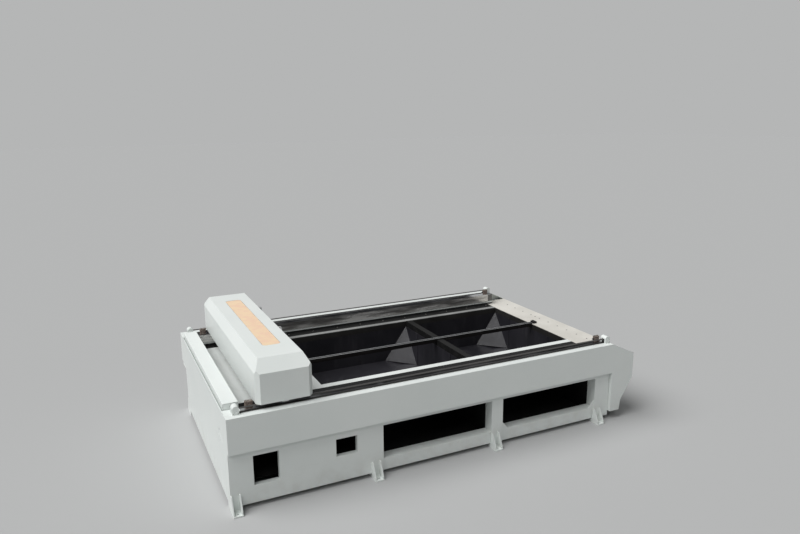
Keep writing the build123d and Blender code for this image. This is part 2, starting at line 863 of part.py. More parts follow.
# Rail and screw of the cutting head's carriage, on the crossbeam's right face
head_rail_y = (250, 2245)
head_rail_z = (975, 995)
head_rail_depth = 12
screw_y = (214, 2275)
head_motor_half = 28
head_motor_y = (2276, 2350)
head_motor_chamfer = 5

with BuildPart() as head_rail:
    block((crossbeam_x[1], crossbeam_x[1] + head_rail_depth), head_rail_y, head_rail_z)
save(head_rail.part, "head_rail")

with BuildPart() as head_screw:
    rod((screw_x, screw_z), screw_y, screw_radius)
save(head_screw.part, "head_screw")

with BuildPart() as head_motor:
    motor_x = (screw_x - head_motor_half, screw_x + head_motor_half)
    motor_z = (screw_z - head_motor_half, screw_z + head_motor_half)
    block(motor_x, head_motor_y, motor_z)
    side_edges = head_motor.edges().filter_by(Axis.Y)
    chamfer(side_edges, length=head_motor_chamfer)
save(head_motor.part, "head_motor")

# Carriage: runs on the rail, carries the third mirror and the sleeve of the lens tube
carriage_half = 60
carriage_plate_x = (nut_front, 816)
carriage_plate_z = (930, 1110)
slider_x = (765, nut_front)
slider_z = (933, 1010)
sleeve_z = (985, 1030)
beam_port_depth = 200
mirror_low = 1068

with BuildPart() as head_carriage:
    span = (head_y - carriage_half, head_y + carriage_half)
    block(carriage_plate_x, span, carriage_plate_z)
    block(slider_x, span, slider_z)
    rail_slot = (head_rail_z[0] - clearance, head_rail_z[1] + clearance)
    block((slider_x[0], crossbeam_x[1] + head_rail_depth + clearance), span, rail_slot, mode=Mode.SUBTRACT)
    rod((screw_x, screw_z), span, screw_radius + clearance, mode=Mode.SUBTRACT)
    head_span = (head_y - mount_half, head_y + mount_half)
    with BuildSketch(side_plane(carriage_plate_x[1])):
        with BuildLine():
            Polyline(
                (head_span[0], mirror_low),
                (head_span[1], mirror_low),
                (head_span[1], mirror_top),
                (head_y, mirror_top),
                (head_span[0], mirror_top - mount_half),
                close=True,
            )
        make_face()
    extrude(amount=head_x + mount_half - carriage_plate_x[1])
    block((carriage_plate_x[1], head_x + mount_half), head_span, sleeve_z)
    with Locations(station(head_x, head_y, sleeve_z[0])):
        Cylinder(lens_radius + clearance, beam_port_depth, mode=Mode.SUBTRACT)
save(head_carriage.part, "head_carriage")

# Lens tube with its nozzle
nozzle_tip, nozzle_shoulder, nozzle_seat = 752, 785, 790
tip_bore, tip_radius, shoulder_radius, nozzle_radius = 4, 7, 12, 20
lens_bottom, lens_top = 815, 1045
lens_bore = 18

with BuildPart() as lens_tube:
    with BuildSketch(Plane(station(head_x, head_y, 0), x_dir=(1, 0, 0), z_dir=(0, -1, 0))):
        with BuildLine():
            Polyline(
                (tip_bore, nozzle_tip),
                (tip_radius, nozzle_tip),
                (shoulder_radius, nozzle_shoulder),
                (nozzle_radius, nozzle_seat),
                (nozzle_radius, lens_bottom),
                (lens_radius, lens_bottom),
                (lens_radius, lens_top),
                (lens_bore, lens_top),
                (lens_bore, nozzle_seat),
                (tip_bore, nozzle_seat),
                close=True,
            )
        make_face()
    revolve(axis=Axis(station(head_x, head_y, 0), (0, 0, 1)))
save(lens_tube.part, "lens_tube")
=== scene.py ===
import json
import math

import bmesh
import bpy
from mathutils import Matrix, Vector, noise


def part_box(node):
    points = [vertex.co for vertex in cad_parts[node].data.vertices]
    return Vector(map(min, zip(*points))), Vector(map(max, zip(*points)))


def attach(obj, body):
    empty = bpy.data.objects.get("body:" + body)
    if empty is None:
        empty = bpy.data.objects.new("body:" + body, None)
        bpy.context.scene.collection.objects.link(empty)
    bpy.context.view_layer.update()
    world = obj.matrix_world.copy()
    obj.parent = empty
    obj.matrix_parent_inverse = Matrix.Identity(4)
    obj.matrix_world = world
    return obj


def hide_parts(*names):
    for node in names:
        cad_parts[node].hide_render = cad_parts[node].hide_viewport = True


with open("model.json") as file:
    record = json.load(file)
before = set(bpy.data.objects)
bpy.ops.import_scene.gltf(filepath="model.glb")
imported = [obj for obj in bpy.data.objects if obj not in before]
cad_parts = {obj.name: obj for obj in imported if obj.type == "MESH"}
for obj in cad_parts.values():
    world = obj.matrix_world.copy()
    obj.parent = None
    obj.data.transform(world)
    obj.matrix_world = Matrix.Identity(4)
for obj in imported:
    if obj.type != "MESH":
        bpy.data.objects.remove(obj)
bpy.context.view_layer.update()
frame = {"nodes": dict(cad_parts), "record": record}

nodes = frame["nodes"]

# Stations of the machine in metres: x from its left end and y from its front face
origin_x = 2.206
origin_y = 1.255
depth = 2.570
beam_top = 0.870
bed_level = 0.733
rail_y = 0.168
wall_y = 2.380
wall_paint_top = 0.755
guard_low = 0.773
steel_from = 0.150
drive_x, idler_x = 0.097, 4.089
shaft_z = 0.892


def place(x, y, z):
    """A point of the frame, from stations in metres."""
    return Vector((x - origin_x, y - origin_y, z))


def both_sides(y):
    """The station at the front and its twin at the rear."""
    return (y, depth - y)


# Camera, at the photograph's angle
lens_mm, sensor_mm = 30.53, 36
farthest_seen = 200
look_from = place(-0.904, -5.265, 3.298)
look_yaw = math.radians(25.37)
look_pitch = math.radians(12.67)
look_roll = math.radians(-0.575)

camera = bpy.data.objects.new("camera", bpy.data.cameras.new("camera"))
camera.data.lens = lens_mm
camera.data.sensor_width = sensor_mm
camera.data.clip_end = farthest_seen
aimed = Matrix.Rotation(-look_yaw, 4, "Z") @ Matrix.Rotation(math.pi / 2 - look_pitch, 4, "X")
rolled = aimed @ Matrix.Rotation(look_roll, 4, "Z")
camera.matrix_world = Matrix.Translation(look_from) @ rolled
bpy.context.scene.collection.objects.link(camera)
bpy.context.scene.camera = camera
bpy.context.scene.view_settings.view_transform = "Standard"


# Materials
class Wire:
    """A value on its way through a material. Arithmetic on it adds a Math node."""

    def __init__(self, finish, socket):
        self.finish = finish
        self.socket = socket

    def maths(self, operation, first, second):
        return self.finish.node("ShaderNodeMath", {"operation": operation}, {0: first, 1: second})

    def __add__(self, other):
        return self.maths("ADD", self, other)

    def __rsub__(self, other):
        return self.maths("SUBTRACT", other, self)

    def __mul__(self, other):
        return self.maths("MULTIPLY", self, other)

    __radd__ = __add__
    __rmul__ = __mul__


class Finish:
    """A procedural material while its nodes are put together."""

    def __init__(self, name):
        self.material = bpy.data.materials.new(name)
        self.material.use_nodes = True
        self.tree = self.material.node_tree
        self.tree.nodes.clear()
        self.where = self.node("ShaderNodeTexCoord", output="Object")

    def node(self, kind, settings=None, sockets=None, output=0):
        """Adds a node, with its settings first and then its sockets, and gives one of its outputs."""
        made = self.tree.nodes.new(kind)
        for key, value in (settings or {}).items():
            setattr(made, key, value)
        for key, value in (sockets or {}).items():
            if isinstance(value, Wire):
                self.tree.links.new(value.socket, made.inputs[key])
            else:
                made.inputs[key].default_value = value
        return Wire(self, made.outputs[output]) if made.outputs else None

    def stretched(self, scale):
        """The place on the piece, scaled by a factor on each axis."""
        return self.node("ShaderNodeMapping", None, {"Vector": self.where, "Scale": scale})

    def noise(self, size, detail=3, stretch=(1, 1, 1)):
        """Noise whose features are about size metres long."""
        sockets = {"Vector": self.stretched(stretch), "Scale": 1 / size, "Detail": detail, "Roughness": 0.55}
        return self.node("ShaderNodeTexNoise", None, sockets)

    def ramp(self, value, low, high):
        """Goes smoothly from nought to one while a value goes from low to high."""
        sockets = {"Value": value, "From Min": low, "From Max": high, "To Min": 0.0, "To Max": 1.0}
        return self.node("ShaderNodeMapRange", {"interpolation_type": "SMOOTHSTEP"}, sockets)

    def mix(self, factor, first, second):
        """One colour turning into another."""
        sockets = {0: factor, 6: first, 7: second}
        return self.node("ShaderNodeMix", {"data_type": "RGBA"}, sockets, output=2)

    def station(self, axis):
        """The place along one axis of the machine."""
        return self.node("ShaderNodeSeparateXYZ", None, {"Vector": self.where}, output=axis)

    def height(self):
        """The height above the floor."""
        return self.station("Z")

    def beyond(self, value, edge):
        """One where a value is past an edge, nought before it."""
        return self.ramp(value, edge - 0.0005, edge + 0.0005)

    def bump(self, value, distance, strength=1.0, over=None):
        """A normal that follows a height, of that depth in metres."""
        sockets = {"Height": value, "Distance": distance, "Strength": strength}
        if over:
            sockets["Normal"] = over
        return self.node("ShaderNodeBump", None, sockets)

    def soft_edges(self, radius):
        """A normal that rounds the piece's edges."""
        return self.node("ShaderNodeBevel", {"samples": 4}, {"Radius": radius})

    def done(self, **sockets):
        """Ends the material in one shader with these sockets."""
        named = {key.replace("_", " ").title().replace("Ior", "IOR"): value for key, value in sockets.items()}
        shader = self.node("ShaderNodeBsdfPrincipled", None, named, output="BSDF")
        self.node("ShaderNodeOutputMaterial", None, {"Surface": shader})
        return self.material


def colour(red, green, blue):
    """A colour with full cover."""
    return (red, green, blue, 1.0)


def make_white_paint(name="white_powder_coat", dark_wall=False):
    """Off-white powder coat: fine orange peel, a faint cloud of tone and dust near the floor.

    With dark_wall, the wall over the rear ledge is black below and plain grey above, where the guard ends.
    """
    f = Finish(name)
    cloud = f.noise(0.7, detail=4)
    dust = f.ramp(f.height(), 0.35, 0.0) * f.ramp(f.noise(0.12, detail=5), 0.35, 0.75)
    speckle = f.ramp(f.noise(0.006, detail=2), 0.66, 0.78)
    plain = f.mix(f.ramp(cloud, 0.3, 0.7), colour(0.745, 0.785, 0.765), colour(0.775, 0.81, 0.79))
    dusty = f.mix(dust * 0.4, plain, colour(0.56, 0.56, 0.52))
    shown = f.mix(speckle * 0.12, dusty, colour(0.45, 0.46, 0.43))
    if dark_wall:
        inner = (1 - f.beyond(f.station("Y"), wall_y - origin_y)) * f.beyond(f.height(), bed_level - 0.01)
        lower = inner * (1 - f.beyond(f.height(), wall_paint_top))
        guard_end = inner * f.beyond(f.height(), guard_low)
        shown = f.mix(guard_end, shown, colour(0.14, 0.138, 0.13))
        shown = f.mix(lower, shown, colour(0.010, 0.010, 0.010))
    peel = f.noise(0.0035, detail=2)
    wave = f.noise(0.16, detail=2)
    flat = f.bump(wave, 0.0016, 0.5, over=f.soft_edges(0.002))
    normal = f.bump(peel, 0.00018, 0.6, over=flat)
    rough = 0.30 + 0.14 * f.noise(0.09) + dust * 0.25
    return f.done(base_color=shown, roughness=rough, coat_weight=0.15, coat_roughness=0.2, normal=normal)


def make_rim_paint(name, pale, deep, dark_from=None):
    """Lightly rubbed paint on top of a rim whose folded-down edge, and rear if asked, is near-black."""
    f = Finish(name)
    cloud = f.ramp(f.noise(0.35, detail=4), 0.3, 0.7)
    plain = f.mix(cloud, pale, deep)
    rub = f.ramp(f.noise(0.05, detail=6, stretch=(1, 0.25, 1)), 0.58, 0.75)
    top = f.mix(rub * 0.25, plain, colour(0.44, 0.42, 0.38))
    folded = f.ramp(f.height(), bed_level - 0.0055, bed_level - 0.0065)
    shown = f.mix(folded, top, colour(0.016, 0.015, 0.014))
    if dark_from:
        shown = f.mix(f.beyond(f.station("Y"), dark_from - origin_y), shown, colour(0.010, 0.010, 0.010))
    normal = f.bump(f.noise(0.004, detail=2), 0.0002, 0.6, over=f.soft_edges(0.002))
    return f.done(base_color=shown, roughness=0.38 + 0.2 * cloud, normal=normal)


def make_dark_paint():
    """Near-black satin paint with a film of dust in patches."""
    f = Finish("black_satin_paint")
    dust = f.ramp(f.noise(0.09, detail=6), 0.45, 0.8)
    shown = f.mix(dust * 0.3, colour(0.009, 0.009, 0.009), colour(0.045, 0.044, 0.042))
    normal = f.bump(f.noise(0.003, detail=2), 0.0002, 0.5, over=f.soft_edges(0.002))
    return f.done(base_color=shown, roughness=0.5 + 0.25 * dust, specular_ior_level=0.1, normal=normal)


def make_hopper_paint():
    """Dark grey paint on thin sheet that is a little wavy, with streaks down the walls."""
    f = Finish("hopper_grey_paint")
    cloud = f.noise(0.5, detail=4)
    streak = f.ramp(f.noise(0.05, detail=5, stretch=(1, 1, 0.12)), 0.5, 0.8)
    base = f.mix(f.ramp(cloud, 0.3, 0.7), colour(0.015, 0.0148, 0.018), colour(0.025, 0.0242, 0.029))
    shown = f.mix(streak * 0.3, base, colour(0.055, 0.053, 0.058))
    wavy = f.bump(f.noise(0.25, detail=2), 0.004, 0.6)
    normal = f.bump(f.noise(0.004, detail=2), 0.0002, 0.5, over=wavy)
    return f.done(base_color=shown, roughness=0.30 + 0.25 * streak, normal=normal)


def make_ground_steel():
    """Ground steel with long streaks along x, oily patches and a few brown stains, painted at its left end.
    Its broad pale patches are painted reflections.
    """
    f = Finish("ground_steel")
    grain = f.noise(0.004, detail=4, stretch=(0.02, 1, 1))
    patch = f.ramp(f.noise(0.22, detail=4, stretch=(0.4, 1, 1)), 0.35, 0.7)
    base = f.mix(patch, colour(0.10, 0.10, 0.105), colour(0.26, 0.26, 0.265))
    # Broad pale patches painted into the steel's colour: painted reflections
    painted_reflection_patches = f.ramp(f.noise(0.8, detail=3, stretch=(1, 0.3, 1)), 0.56, 0.66)
    bright = f.mix(painted_reflection_patches, base, colour(0.72, 0.73, 0.74))
    stain = f.ramp(f.noise(0.11, detail=5), 0.6, 0.75)
    shown = f.mix(stain * 0.5, bright, colour(0.17, 0.13, 0.10))
    steel = f.beyond(f.station("X"), steel_from - origin_x)
    painted = f.mix(steel, colour(0.76, 0.80, 0.78), shown)
    rough = 0.24 + 0.22 * grain + 0.15 * stain
    normal = f.bump(grain, 0.00012, 0.6, over=f.soft_edges(0.001))
    return f.done(base_color=painted, metallic=steel, roughness=rough, normal=normal)


def make_bright_steel():
    """Polished strip that is slightly wavy, with blurred darker and paler bands in its colour that are painted
    streaky reflections.
    """
    f = Finish("bright_strip")
    # Blurred bands from dark to pale painted into the strip's colour: painted streaky reflections
    painted_reflection_bands = f.ramp(f.noise(0.45, detail=4, stretch=(1, 1, 9)), 0.36, 0.66)
    shown = f.mix(painted_reflection_bands, colour(0.24, 0.235, 0.225), colour(0.80, 0.79, 0.77))
    wave = f.bump(f.noise(0.18, detail=2, stretch=(1, 1, 2)), 0.004, 0.5)
    normal = f.bump(f.noise(0.003, detail=3, stretch=(0.03, 1, 1)), 0.0001, 0.4, over=wave)
    return f.done(base_color=shown, metallic=0.62, roughness=0.18 + 0.12 * painted_reflection_bands, normal=normal)


def make_bar_paint():
    """Dark brown satin paint, worn paler in streaks along the bar."""
    f = Finish("brown_bar_paint")
    wear = f.ramp(f.noise(0.03, detail=5, stretch=(0.1, 1, 1)), 0.55, 0.75)
    shown = f.mix(wear * 0.3, colour(0.010, 0.0085, 0.0085), colour(0.060, 0.052, 0.048))
    normal = f.bump(f.noise(0.003), 0.0002, 0.5, over=f.soft_edges(0.0015))
    return f.done(base_color=shown, roughness=0.42 + 0.2 * wear, specular_ior_level=0.3, normal=normal)


def make_belt():
    """Dark rubber belting with a fine cross grain."""
    f = Finish("dark_belting")
    grain = f.noise(0.004, detail=3, stretch=(1, 0.1, 1))
    shown = f.mix(grain, colour(0.022, 0.021, 0.020), colour(0.050, 0.048, 0.045))
    normal = f.bump(grain, 0.0003, 0.6)
    return f.done(base_color=shown, roughness=0.55 + 0.2 * grain, normal=normal)


def make_buffer():
    """Reddish brown cast buffer with a scuffed skin."""
    f = Finish("brown_buffer")
    scuff = f.ramp(f.noise(0.012, detail=6), 0.45, 0.75)
    shown = f.mix(scuff, colour(0.12, 0.088, 0.072), colour(0.33, 0.28, 0.25))
    normal = f.bump(f.noise(0.004, detail=4), 0.0006, 0.7)
    return f.done(base_color=shown, roughness=0.45 + 0.25 * scuff, normal=normal)


def make_aluminium():
    """Milled aluminium with a fine brushed grain along y."""
    f = Finish("milled_aluminium")
    grain = f.noise(0.003, detail=4, stretch=(1, 0.03, 1))
    cloud = f.noise(0.08, detail=4)
    shown = f.mix(f.ramp(cloud, 0.3, 0.7), colour(0.52, 0.53, 0.54), colour(0.64, 0.65, 0.66))
    normal = f.bump(grain, 0.0001, 0.6, over=f.soft_edges(0.001))
    return f.done(base_color=shown, metallic=1.0, roughness=0.28 + 0.2 * grain, normal=normal)


def make_clear(name, tint, roughness):
    """Clear glass or acrylic with the faintest smears."""
    f = Finish(name)
    smear = f.noise(0.05, detail=5)
    rough = roughness + 0.06 * f.ramp(smear, 0.5, 0.8)
    return f.done(base_color=tint, roughness=rough, transmission_weight=1.0, ior=1.46)


def make_kraft():
    """Brown masking paper: fibres, faint blotches and soft creases."""
    f = Finish("kraft_paper")
    blotch = f.ramp(f.noise(0.10, detail=4), 0.38, 0.66)
    fibre = f.noise(0.002, detail=5, stretch=(1, 0.3, 1))
    pale = f.mix(fibre, colour(0.80, 0.60, 0.40), colour(0.87, 0.68, 0.47))
    shown = f.mix(blotch * 0.6, pale, colour(0.80, 0.54, 0.41))
    crease = f.bump(f.noise(0.06, detail=4), 0.004, 0.6)
    normal = f.bump(fibre, 0.0002, 0.6, over=crease)
    return f.done(base_color=shown, roughness=0.62 + 0.2 * fibre, normal=normal)


def make_motor_black():
    """Black textured housing."""
    f = Finish("black_housing")
    grain = f.noise(0.0012, detail=2)
    cloud = f.ramp(f.noise(0.05, detail=4), 0.4, 0.8)
    shown = f.mix(cloud, colour(0.012, 0.012, 0.013), colour(0.05, 0.05, 0.05))
    normal = f.bump(grain, 0.0002, 0.6, over=f.soft_edges(0.001))
    return f.done(base_color=shown, roughness=0.5 + 0.15 * grain, normal=normal)


def make_screw_steel():
    """Zinc-plated steel of small fasteners and of the mirrors' knobs."""
    f = Finish("zinc_plate")
    cloud = f.ramp(f.noise(0.01, detail=4), 0.3, 0.7)
    shown = f.mix(cloud, colour(0.30, 0.29, 0.27), colour(0.50, 0.49, 0.46))
    return f.done(base_color=shown, metallic=1.0, roughness=0.3 + 0.2 * cloud)


def make_black_oxide():
    """Blackened steel of socket screws, bracket bolts and the clamp ring."""
    f = Finish("black_oxide")
    cloud = f.ramp(f.noise(0.008, detail=4), 0.3, 0.7)
    shown = f.mix(cloud, colour(0.02, 0.02, 0.021), colour(0.06, 0.06, 0.06))
    return f.done(base_color=shown, metallic=0.7, roughness=0.35 + 0.2 * cloud)


def make_brass():
    """Turned brass."""
    f = Finish("turned_brass")
    grain = f.noise(0.001, detail=3, stretch=(0.1, 0.1, 1))
    shown = f.mix(grain, colour(0.52, 0.36, 0.12), colour(0.68, 0.50, 0.20))
    return f.done(base_color=shown, metallic=1.0, roughness=0.2 + 0.2 * grain)


finishes = {
    "white_paint": make_white_paint(),
    "dark_paint": make_dark_paint(),
    "hopper_paint": make_hopper_paint(),
    "ground_steel": make_ground_steel(),
    "bright_steel": make_bright_steel(),
    "bar_paint": make_bar_paint(),
    "belt": make_belt(),
    "buffer": make_buffer(),
    "aluminium": make_aluminium(),
    "tube_glass": make_clear("clear_tube_glass", colour(0.93, 0.96, 0.98), 0.01),
    "acrylic": make_clear("clear_acrylic", colour(0.90, 0.90, 0.88), 0.05),
    "kraft": make_kraft(),
    "motor_black": make_motor_black(),
}
warm_rim = make_rim_paint("warm_white_rim", colour(0.60, 0.58, 0.53), colour(0.68, 0.66, 0.61))
white_rim = make_rim_paint("white_rim", colour(0.72, 0.75, 0.73), colour(0.76, 0.79, 0.77))
grey_rim = make_rim_paint("grey_rim", colour(0.22, 0.225, 0.22), colour(0.30, 0.305, 0.30), dark_from=2.244)
wall_paint = make_white_paint("white_with_dark_wall", dark_wall=True)
zinc = make_screw_steel()
black_oxide = make_black_oxide()
brass = make_brass()

own_finish = {
    "right_end_plate": warm_rim,
    "front_lip": white_rim,
    "left_deck": white_rim,
    "rear_lip": grey_rim,
    "rear_beam": wall_paint,
}
for part in frame["record"]["subparts"]:
    name = part["node"]
    finish = own_finish.get(name, finishes[part["material_slot"]])
    nodes[name].data.materials.clear()
    nodes[name].data.materials.append(finish)


# Modelling
def take(pieces):
    """Selects these pieces and no others, with the first one active."""
    bpy.ops.object.select_all(action="DESELECT")
    for piece in pieces:
        piece.select_set(True)
    bpy.context.view_layer.objects.active = pieces[0]


def begin(adder, name, **settings):
    """Adds a primitive with nothing else selected."""
    bpy.ops.object.select_all(action="DESELECT")
    adder(**settings)
    piece = bpy.context.object
    piece.name = name
    return piece


def choose_top(piece):
    """Opens a piece for editing and selects the faces that look up."""
    bpy.ops.object.mode_set(mode="EDIT")
    bpy.ops.mesh.select_mode(type="FACE")
    bpy.ops.mesh.select_all(action="DESELECT")
    form = bmesh.from_edit_mesh(piece.data)
    for face in form.faces:
        face.select_set(face.normal.z > 0.9)
    bmesh.update_edit_mesh(piece.data)


def close():
    """Leaves edit mode."""
    bpy.ops.object.mode_set(mode="OBJECT")


def bake_place(piece):
    """Moves a piece's place and turn from its object into its mesh."""
    take([piece])
    bpy.ops.object.transform_apply()


def settle(piece, finish, body="machine_frame"):
    """Gives a piece its finish and lets it ride on a body."""
    bake_place(piece)
    bpy.ops.object.shade_smooth_by_angle(angle=math.radians(35))
    piece.data.materials.clear()
    piece.data.materials.append(finish)
    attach(piece, body)


def repeated(pattern, places, name, turn=(0, 0, 0)):
    """Copies a pattern to each place, turned the same way, and joins the copies into one piece."""
    copies = []
    for spot in places:
        copy = pattern.copy()
        copy.data = pattern.data.copy()
        copy.location = spot
        copy.rotation_euler = turn
        bpy.context.scene.collection.objects.link(copy)
        copies.append(copy)
    bpy.data.objects.remove(pattern)
    return joined(copies, name)


def joined(pieces, name):
    """Makes one piece of several."""
    take(pieces)
    bpy.ops.object.join()
    whole = bpy.context.object
    whole.name = name
    return whole


def socket_screw(radius, height, sides=16):
    """A cap screw's head with its sunk socket, standing on the origin."""
    head = begin(bpy.ops.mesh.primitive_cylinder_add, "socket_screw", vertices=sides, radius=radius,
                 depth=height, location=(0, 0, height / 2))
    bake_place(head)
    choose_top(head)
    bpy.ops.mesh.inset(thickness=radius * 0.12)
    bpy.ops.transform.translate(value=(0, 0, height * 0.1))
    bpy.ops.mesh.inset(thickness=radius * 0.35)
    bpy.ops.mesh.extrude_region_move(TRANSFORM_OT_translate={"value": (0, 0, -height * 0.6)})
    close()
    return head


def hex_bolt(radius, height):
    """A hexagon head on its washer, standing on the origin."""
    washer = begin(bpy.ops.mesh.primitive_cylinder_add, "washer", vertices=20, radius=radius * 1.35,
                   depth=height * 0.25, location=(0, 0, height * 0.125))
    bake_place(washer)
    choose_top(washer)
    bpy.ops.mesh.inset(thickness=radius * 0.2)
    close()
    head = begin(bpy.ops.mesh.primitive_cylinder_add, "hexagon", vertices=6, radius=radius,
                 depth=height * 0.75, location=(0, 0, height * 0.625))
    bake_place(head)
    choose_top(head)
    bpy.ops.mesh.inset(thickness=radius * 0.15)
    bpy.ops.transform.translate(value=(0, 0, height * 0.08))
    close()
    return joined([washer, head], "hex_bolt")


def turned(name, profile, centre, axis, steps=32):
    """A turned part: a closed profile of (radius, distance along the axis) points, spun about the axis."""
    axis = Vector(axis).normalized()
    across = axis.orthogonal().normalized()
    corners = [centre + across * radius + axis * along for radius, along in profile]
    mesh = bpy.data.meshes.new(name)
    mesh.from_pydata(corners, [(i, (i + 1) % len(corners)) for i in range(len(corners))], [])
    piece = bpy.data.objects.new(name, mesh)
    bpy.context.scene.collection.objects.link(piece)
    take([piece])
    bpy.ops.object.mode_set(mode="EDIT")
    bpy.ops.mesh.select_mode(type="EDGE")
    bpy.ops.mesh.select_all(action="SELECT")
    bpy.ops.mesh.spin(steps=steps, angle=2 * math.pi, center=centre, axis=axis)
    bpy.ops.mesh.select_all(action="SELECT")
    bpy.ops.mesh.remove_doubles(threshold=0.00002)
    bpy.ops.mesh.normals_make_consistent(inside=False)
    close()
    return piece


def strip(name, low, high, edge):
    """A long flat strip between two corners, with its edges rounded."""
    piece = begin(bpy.ops.mesh.primitive_cube_add, name, size=1)
    piece.location = (low + high) / 2
    piece.scale = high - low
    bake_place(piece)
    rounding = piece.modifiers.new("rounding", "BEVEL")
    rounding.width = edge
    rounding.segments = 2
    bpy.ops.object.modifier_apply(modifier=rounding.name)
    return piece


def spaced(first, last, pitch):
    """Stations from first to last, at about a pitch."""
    count = round((last - first) / pitch)
    return [first + (last - first) * i / count for i in range(count + 1)]


# Rail screws: blackened heads sunk almost flush in the top of both rails
rail_height = 0.016
rail_top = beam_top + rail_height
rail_places = [place(x, y, rail_top) for y in both_sides(rail_y) for x in spaced(0.300, 3.950, 0.060)]
rail_screws = repeated(socket_screw(0.0048, 0.00022, sides=12), rail_places, "rail_screws")
settle(rail_screws, black_oxide)

# Ledge screws: a row of small round heads along the black strip behind the bed
ledge_y = 2.322
ledge_places = [place(x, ledge_y, bed_level) for x in spaced(0.900, 3.990, 0.300)]
ledge_screws = repeated(socket_screw(0.0075, 0.005), ledge_places, "ledge_screws")
settle(ledge_screws, zinc)

# End blocks: painted bearing caps over the bores and a pair of cap screws under each
block_faces = {"front": (0.062, (math.pi / 2, 0, 0), -1), "rear": (2.508, (-math.pi / 2, 0, 0), 1)}
ends = (drive_x, idler_x)
block_screw_z, block_screw_reach = 0.8805, 0.0215
cap_profile = [
    (0, 0), (0.0175, 0), (0.0175, 0.0009), (0.0165, 0.0017),
    (0.012, 0.0017), (0.011, 0.0012), (0, 0.0012),
]
for side, (face_y, turn, outward) in block_faces.items():
    caps = [turned("cap", cap_profile, place(x, face_y, shaft_z), (0, outward, 0)) for x in ends]
    settle(joined(caps, f"{side}_bearing_caps"), finishes["white_paint"])
    shifts = (-block_screw_reach, block_screw_reach)
    spots = [place(x + shift, face_y, block_screw_z) for x in ends for shift in shifts]
    settle(repeated(socket_screw(0.004, 0.0016), spots, f"{side}_block_screws", turn), zinc)

# Pulleys: a flange each side of every belt
flange_profile = [
    (0.0172, 0), (0.0205, 0), (0.0212, 0.0006),
    (0.0212, 0.0019), (0.0205, 0.0025), (0.0172, 0.0025),
]
front_flanges = (0.0822, 0.1153)
rear_flanges = (depth - 0.0847, depth - 0.1178)
flange_bodies = {
    "front_idler": ("idler_front", idler_x, front_flanges),
    "rear_idler": ("idler_rear", idler_x, rear_flanges),
    "shaft": ("shaft", drive_x, front_flanges + rear_flanges),
}
for name, (body, x, stations) in flange_bodies.items():
    flanges = [turned("flange", flange_profile, place(x, y, shaft_z), (0, 1, 0), 36) for y in stations]
    settle(joined(flanges, f"{name}_flanges"), finishes["aluminium"], body)

# Shaft cover: a thin plate in each open end, with a round hole for the shaft
cover_x, cover_z = (0.0205, 0.1455), (0.7335, 0.9205)
plate_half, plate_edge = 0.001, 0.0004
shaft_hole, drill_length = 0.0205, 0.02
for side, y in (("front", 0.2065), ("rear", 2.3635)):
    low = place(cover_x[0], y - plate_half, cover_z[0])
    high = place(cover_x[1], y + plate_half, cover_z[1])
    plate = strip(f"{side}_cover_plate", low, high, plate_edge)
    bore = begin(bpy.ops.mesh.primitive_cylinder_add, "bore", vertices=40, radius=shaft_hole,
                 depth=drill_length, location=place(drive_x, y, shaft_z), rotation=(math.pi / 2, 0, 0))
    bpy.context.view_layer.objects.active = plate
    hole = plate.modifiers.new("hole", "BOOLEAN")
    hole.operation = "DIFFERENCE"
    hole.object = bore
    bpy.ops.object.modifier_apply(modifier=hole.name)
    bpy.data.objects.remove(bore)
    settle(plate, finishes["white_paint"])

# End plate: a row of dark recessed screws across the bed
plate_screw_x = 4.273
plate_rows = spaced(0.601, 2.221, 0.180) + [1.592]
end_plate_spots = [place(plate_screw_x, y, bed_level) for y in plate_rows]
plate_screws = repeated(socket_screw(0.009, 0.0006, sides=18), end_plate_spots, "end_plate_screws")
settle(plate_screws, black_oxide)

# Stops: two hexagon bolts down through each, and a stub buffer towards the gantry
stop_top, stub_z = 0.932, 0.9035
stop_centres = {"left": (0.2285, 0.262, 1), "right": (4.020, 3.988, -1)}
stop_shifts = (-0.018, 0.018)
stub_profile = [
    (0, 0), (0.009, 0), (0.009, 0.004), (0.0075, 0.006),
    (0.0075, 0.017), (0.006, 0.0195), (0, 0.020),
]
for end, (centre_x, face_x, inward) in stop_centres.items():
    spots = [place(centre_x + shift, y, stop_top) for y in both_sides(rail_y) for shift in stop_shifts]
    settle(repeated(hex_bolt(0.0085, 0.009), spots, f"{end}_stop_bolts"), zinc)
    feet = [place(face_x, y, stub_z) for y in both_sides(rail_y)]
    stubs = [turned("stub", stub_profile, foot, (inward, 0, 0), 24) for foot in feet]
    settle(joined(stubs, f"{end}_stop_buffers"), finishes["motor_black"])

# Cross bar: two pale sealing strips beside its groove, and the bolts of its end bracket
bar_top, bar_x = 0.745, (1.012, 4.066)
strip_height, strip_edge = 0.0008, 0.0002
for side, (near, far) in {"front": (1.3585, 1.3685), "rear": (1.3915, 1.4015)}.items():
    low, high = place(bar_x[0], near, bar_top), place(bar_x[1], far, bar_top + strip_height)
    settle(strip(f"bar_strip_{side}", low, high, strip_edge), finishes["aluminium"])
bracket_x, bracket_top = 4.0925, 0.757
bracket_spots = [place(bracket_x, y, bracket_top) for y in (1.362, 1.398)]
settle(repeated(hex_bolt(0.0075, 0.008), bracket_spots, "bracket_bolts"), black_oxide)

